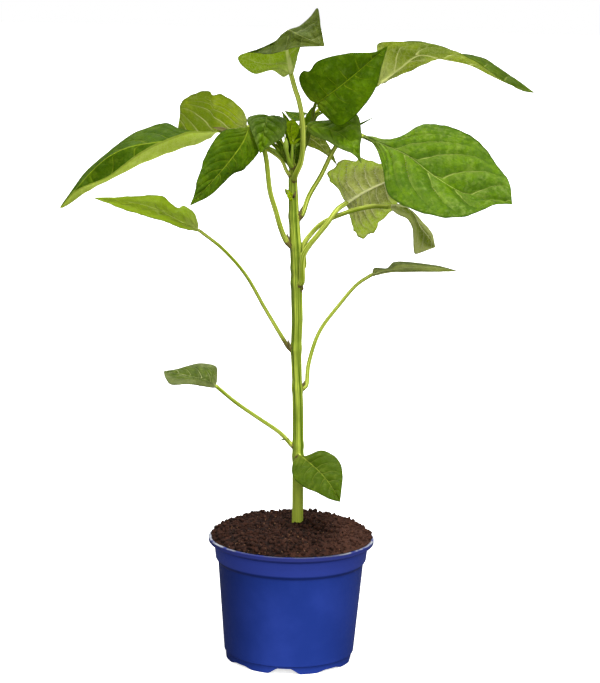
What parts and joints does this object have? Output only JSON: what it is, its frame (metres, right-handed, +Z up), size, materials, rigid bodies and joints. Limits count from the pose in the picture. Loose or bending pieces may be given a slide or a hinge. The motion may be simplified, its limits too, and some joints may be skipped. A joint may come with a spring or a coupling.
{
  "type": "potted sweet pepper plant",
  "caption": "Young sweet pepper plant with one ribbed stem and broad pointed leaves, bedded in compost in a round tapered nursery pot with a flared lip.",
  "frame": {"origin": "centre of the pot's foot, on the surface it stands on", "axes": "+Z up along the pot's axis and the stem, +X to the plant's right, -Y towards its front"},
  "size_m": [0.3753, 0.1429, 0.5249],
  "materials": {
    "pot": "satin royal blue polypropylene, the lip scuffed pale grey",
    "compost": "dark brown crumbly peat compost",
    "stem": "green ribbed skin with light and dark stripes",
    "leaf_dark": "deep green upper side, waxy satin",
    "leaf_mid": "mid green, waxy satin",
    "leaf_bright": "bright green, quilted, waxy satin",
    "leaf_grey": "greyish green, waxy satin",
    "leaf_pale": "pale yellow-green underside, matte",
    "leaf_young": "fresh yellow-green",
    "axil_bud": "dark brownish green",
    "bract": "pale yellow-green",
    "flower_bud": "pale green, closed"
  },
  "bodies": {
    "root": {"pot": "pot", "soil": "compost", "stem": "stem", "low_right_leaf": "leaf_grey", "low_left_leaf": "leaf_grey", "mid_right_leaf": "leaf_grey", "mid_left_leaf": "leaf_pale", "pale_back_leaf": "leaf_pale", "drooping_leaf": "leaf_mid", "dark_left_leaf": "leaf_dark", "big_right_leaf": "leaf_bright", "long_left_leaf": "leaf_dark", "top_leaf": "leaf_mid", "upper_right_leaf": "leaf_dark", "far_right_leaf": "leaf_mid", "upper_left_leaf": "leaf_pale", "left_crown_leaf": "leaf_dark", "right_crown_leaf": "leaf_dark", "under_crown_leaf": "leaf_pale", "back_crown_leaf": "leaf_dark", "young_leaf": "leaf_young", "axil_bud_low": "axil_bud", "axil_bud_left": "axil_bud", "axil_bud_right": "axil_bud", "axil_bud_front": "axil_bud", "axil_bud_mid_left": "axil_bud", "bract_left": "bract", "flower_bud": "flower_bud"}
  },
  "joints": []
}
